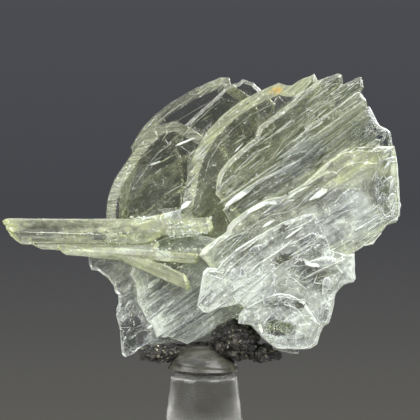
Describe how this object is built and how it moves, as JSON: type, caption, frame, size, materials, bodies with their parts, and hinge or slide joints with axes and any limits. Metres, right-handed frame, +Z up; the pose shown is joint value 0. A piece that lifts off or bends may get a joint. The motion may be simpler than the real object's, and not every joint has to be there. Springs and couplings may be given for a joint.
{
  "type": "barite crystal specimen",
  "caption": "Fan of clear, pale green barite plates with a side bundle of laths and a dark rock crust, set in putty on a clear tapered stand.",
  "frame": {"origin": "centre of the stand's foot, on the surface that it rests on", "axes": "+Z up along the stand's axis; +X to the right along the fan's width as the picture shows it; +Y away from the viewer, through the fan's thickness"},
  "size_m": [0.0714, 0.032, 0.0746],
  "materials": {
    "barite": "polished",
    "rock": "matte",
    "putty": "satin",
    "acrylic": "polished"
  },
  "bodies": {
    "root": {"barite_crystals": "barite", "matrix_rock": "rock", "putty": "putty", "stand": "acrylic"}
  },
  "joints": []
}
